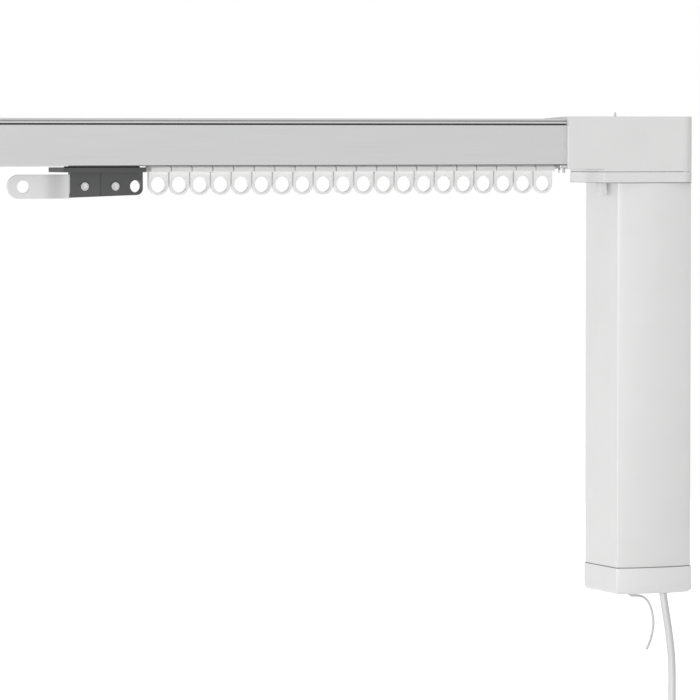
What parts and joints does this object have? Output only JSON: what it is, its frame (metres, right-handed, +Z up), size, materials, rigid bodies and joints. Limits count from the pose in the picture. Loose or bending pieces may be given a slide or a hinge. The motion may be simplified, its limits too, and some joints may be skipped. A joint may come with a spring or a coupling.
{
  "type": "electric curtain track",
  "caption": "Ceiling curtain rail with a toothed-belt drive: a motor hangs from one end and draws a carrier with an overlap arm and a row of hook runners along the slot.",
  "frame": {"origin": "middle of the rail's top face, which goes against the ceiling clips", "axes": "+X along the rail towards the motor, +Y away from the viewer, +Z up to the ceiling"},
  "size_m": [1.1631, 0.054, 0.5392],
  "materials": {
    "rail_aluminium": "satin anodised",
    "belt_rubber": "matt",
    "zinc_steel": "bright zinc",
    "white_case": "fine satin",
    "grey_plastic": "satin",
    "dark_plastic": "satin",
    "black_plastic": "satin",
    "board_green": "satin",
    "lead_pvc": "soft satin",
    "antenna_pvc": "soft satin",
    "plug_brass": "nickel plated",
    "arm_paint": "white powder coat",
    "runner_plastic": "satin"
  },
  "bodies": {
    "track": {"rail": "rail_aluminium", "drive_belt": "belt_rubber", "rail_clamps": "zinc_steel", "rail_lock_screws": "zinc_steel", "idler_housing": "white_case", "idler_cover": "white_case", "idler_axle": "zinc_steel", "head_housing": "white_case", "head_flange": "white_case", "pulley_bearings": "zinc_steel", "case_screws": "zinc_steel", "motor_shell": "white_case", "motor_top_plate": "grey_plastic", "motor_end_cap": "white_case", "gearbox_casing": "grey_plastic", "motor_can": "zinc_steel", "control_board": "board_green", "lead_gland": "grey_plastic", "antenna_bush": "black_plastic", "mains_lead": "lead_pvc", "lead_coil": "lead_pvc", "coil_tie": "black_plastic", "plug_lead": "lead_pvc", "plug_body": "lead_pvc", "plug_pins": "plug_brass", "antenna_wire": "antenna_pvc"},
    "drive_train": {"drive_pulley": "grey_plastic", "output_shaft": "zinc_steel"},
    "idler": {"idler_pulley": "grey_plastic"},
    "latch": {"release_latch": "white_case"},
    "carrier": {"carrier_body": "dark_plastic", "carrier_front_plate": "dark_plastic", "carrier_rear_plate": "dark_plastic", "carrier_screws": "zinc_steel", "overlap_arm": "arm_paint", "belt_clamp": "dark_plastic"},
    "wheels_left": {"wheelset_left": "grey_plastic"},
    "wheels_right": {"wheelset_right": "grey_plastic"},
    "runner_01": {"runner_01": "runner_plastic"},
    "runner_02": {"runner_02": "runner_plastic"},
    "runner_03": {"runner_03": "runner_plastic"},
    "runner_04": {"runner_04": "runner_plastic"},
    "runner_05": {"runner_05": "runner_plastic"},
    "runner_06": {"runner_06": "runner_plastic"},
    "runner_07": {"runner_07": "runner_plastic"},
    "runner_08": {"runner_08": "runner_plastic"},
    "runner_09": {"runner_09": "runner_plastic"},
    "runner_10": {"runner_10": "runner_plastic"},
    "runner_11": {"runner_11": "runner_plastic"},
    "runner_12": {"runner_12": "runner_plastic"},
    "runner_13": {"runner_13": "runner_plastic"},
    "runner_14": {"runner_14": "runner_plastic"},
    "runner_15": {"runner_15": "runner_plastic"},
    "runner_16": {"runner_16": "runner_plastic"},
    "runner_17": {"runner_17": "runner_plastic"},
    "runner_18": {"runner_18": "runner_plastic"},
    "runner_19": {"runner_19": "runner_plastic"},
    "runner_20": {"runner_20": "runner_plastic"}
  },
  "joints": [
    {"name": "carrier_slide", "type": "slide", "parent": "track", "child": "carrier", "axis": [-1, 0, 0], "range_m": [0, 0.6]},
    {"name": "latch_slide", "type": "slide", "parent": "track", "child": "latch", "axis": [-1, 0, 0], "range_m": [0, 0.0024], "stiffness_N_per_m": 300, "springref_m": -0.001},
    {"name": "drive_spin", "type": "hinge", "parent": "track", "child": "drive_train", "pos_m": [0.5632, 0, -0.014], "axis": [0, 0, 1], "range_deg": [-2701, 0]},
    {"name": "idler_spin", "type": "hinge", "parent": "track", "child": "idler", "pos_m": [-0.53, 0, -0.014], "axis": [0, 0, 1], "range_deg": [-2701, 0]},
    {"name": "wheels_left_roll", "type": "hinge", "parent": "carrier", "child": "wheels_left", "pos_m": [0.1718, 0, -0.0232], "axis": [0, 1, 0], "range_deg": [-7645, 0]},
    {"name": "wheels_right_roll", "type": "hinge", "parent": "carrier", "child": "wheels_right", "pos_m": [0.2078, 0, -0.0232], "axis": [0, 1, 0], "range_deg": [-7645, 0]},
    {"name": "runner_01_slide", "type": "slide", "parent": "track", "child": "runner_01", "axis": [-1, 0, 0], "range_m": [0, 0.5719]},
    {"name": "runner_02_slide", "type": "slide", "parent": "track", "child": "runner_02", "axis": [-1, 0, 0], "range_m": [0, 0.5434]},
    {"name": "runner_03_slide", "type": "slide", "parent": "track", "child": "runner_03", "axis": [-1, 0, 0], "range_m": [0, 0.5148]},
    {"name": "runner_04_slide", "type": "slide", "parent": "track", "child": "runner_04", "axis": [-1, 0, 0], "range_m": [0, 0.4862]},
    {"name": "runner_05_slide", "type": "slide", "parent": "track", "child": "runner_05", "axis": [-1, 0, 0], "range_m": [0, 0.4576]},
    {"name": "runner_06_slide", "type": "slide", "parent": "track", "child": "runner_06", "axis": [-1, 0, 0], "range_m": [0, 0.4291]},
    {"name": "runner_07_slide", "type": "slide", "parent": "track", "child": "runner_07", "axis": [-1, 0, 0], "range_m": [0, 0.4005]},
    {"name": "runner_08_slide", "type": "slide", "parent": "track", "child": "runner_08", "axis": [-1, 0, 0], "range_m": [0, 0.3719]},
    {"name": "runner_09_slide", "type": "slide", "parent": "track", "child": "runner_09", "axis": [-1, 0, 0], "range_m": [0, 0.3434]},
    {"name": "runner_10_slide", "type": "slide", "parent": "track", "child": "runner_10", "axis": [-1, 0, 0], "range_m": [0, 0.3148]},
    {"name": "runner_11_slide", "type": "slide", "parent": "track", "child": "runner_11", "axis": [-1, 0, 0], "range_m": [0, 0.2862]},
    {"name": "runner_12_slide", "type": "slide", "parent": "track", "child": "runner_12", "axis": [-1, 0, 0], "range_m": [0, 0.2576]},
    {"name": "runner_13_slide", "type": "slide", "parent": "track", "child": "runner_13", "axis": [-1, 0, 0], "range_m": [0, 0.2291]},
    {"name": "runner_14_slide", "type": "slide", "parent": "track", "child": "runner_14", "axis": [-1, 0, 0], "range_m": [0, 0.2005]},
    {"name": "runner_15_slide", "type": "slide", "parent": "track", "child": "runner_15", "axis": [-1, 0, 0], "range_m": [0, 0.1719]},
    {"name": "runner_16_slide", "type": "slide", "parent": "track", "child": "runner_16", "axis": [-1, 0, 0], "range_m": [0, 0.1434]},
    {"name": "runner_17_slide", "type": "slide", "parent": "track", "child": "runner_17", "axis": [-1, 0, 0], "range_m": [0, 0.1148]},
    {"name": "runner_18_slide", "type": "slide", "parent": "track", "child": "runner_18", "axis": [-1, 0, 0], "range_m": [0, 0.0862]},
    {"name": "runner_19_slide", "type": "slide", "parent": "track", "child": "runner_19", "axis": [-1, 0, 0], "range_m": [0, 0.0576]},
    {"name": "runner_20_slide", "type": "slide", "parent": "track", "child": "runner_20", "axis": [-1, 0, 0], "range_m": [0, 0.0291]}
  ],
  "couplings": [
    {"joint": "drive_spin", "follows": "carrier_slide", "rad_per_m": -78.54},
    {"joint": "idler_spin", "follows": "carrier_slide", "rad_per_m": -78.54},
    {"joint": "wheels_left_roll", "follows": "carrier_slide", "rad_per_m": -222.22},
    {"joint": "wheels_right_roll", "follows": "carrier_slide", "rad_per_m": -222.22},
    {"joint": "runner_01_slide", "follows": "carrier_slide", "ratio": 0.95238},
    {"joint": "runner_02_slide", "follows": "carrier_slide", "ratio": 0.90476},
    {"joint": "runner_03_slide", "follows": "carrier_slide", "ratio": 0.85714},
    {"joint": "runner_04_slide", "follows": "carrier_slide", "ratio": 0.80952},
    {"joint": "runner_05_slide", "follows": "carrier_slide", "ratio": 0.76191},
    {"joint": "runner_06_slide", "follows": "carrier_slide", "ratio": 0.71429},
    {"joint": "runner_07_slide", "follows": "carrier_slide", "ratio": 0.66667},
    {"joint": "runner_08_slide", "follows": "carrier_slide", "ratio": 0.61905},
    {"joint": "runner_09_slide", "follows": "carrier_slide", "ratio": 0.57143},
    {"joint": "runner_10_slide", "follows": "carrier_slide", "ratio": 0.52381},
    {"joint": "runner_11_slide", "follows": "carrier_slide", "ratio": 0.47619},
    {"joint": "runner_12_slide", "follows": "carrier_slide", "ratio": 0.42857},
    {"joint": "runner_13_slide", "follows": "carrier_slide", "ratio": 0.38095},
    {"joint": "runner_14_slide", "follows": "carrier_slide", "ratio": 0.33333},
    {"joint": "runner_15_slide", "follows": "carrier_slide", "ratio": 0.28571},
    {"joint": "runner_16_slide", "follows": "carrier_slide", "ratio": 0.2381},
    {"joint": "runner_17_slide", "follows": "carrier_slide", "ratio": 0.19048},
    {"joint": "runner_18_slide", "follows": "carrier_slide", "ratio": 0.14286},
    {"joint": "runner_19_slide", "follows": "carrier_slide", "ratio": 0.095238},
    {"joint": "runner_20_slide", "follows": "carrier_slide", "ratio": 0.047619}
  ]
}
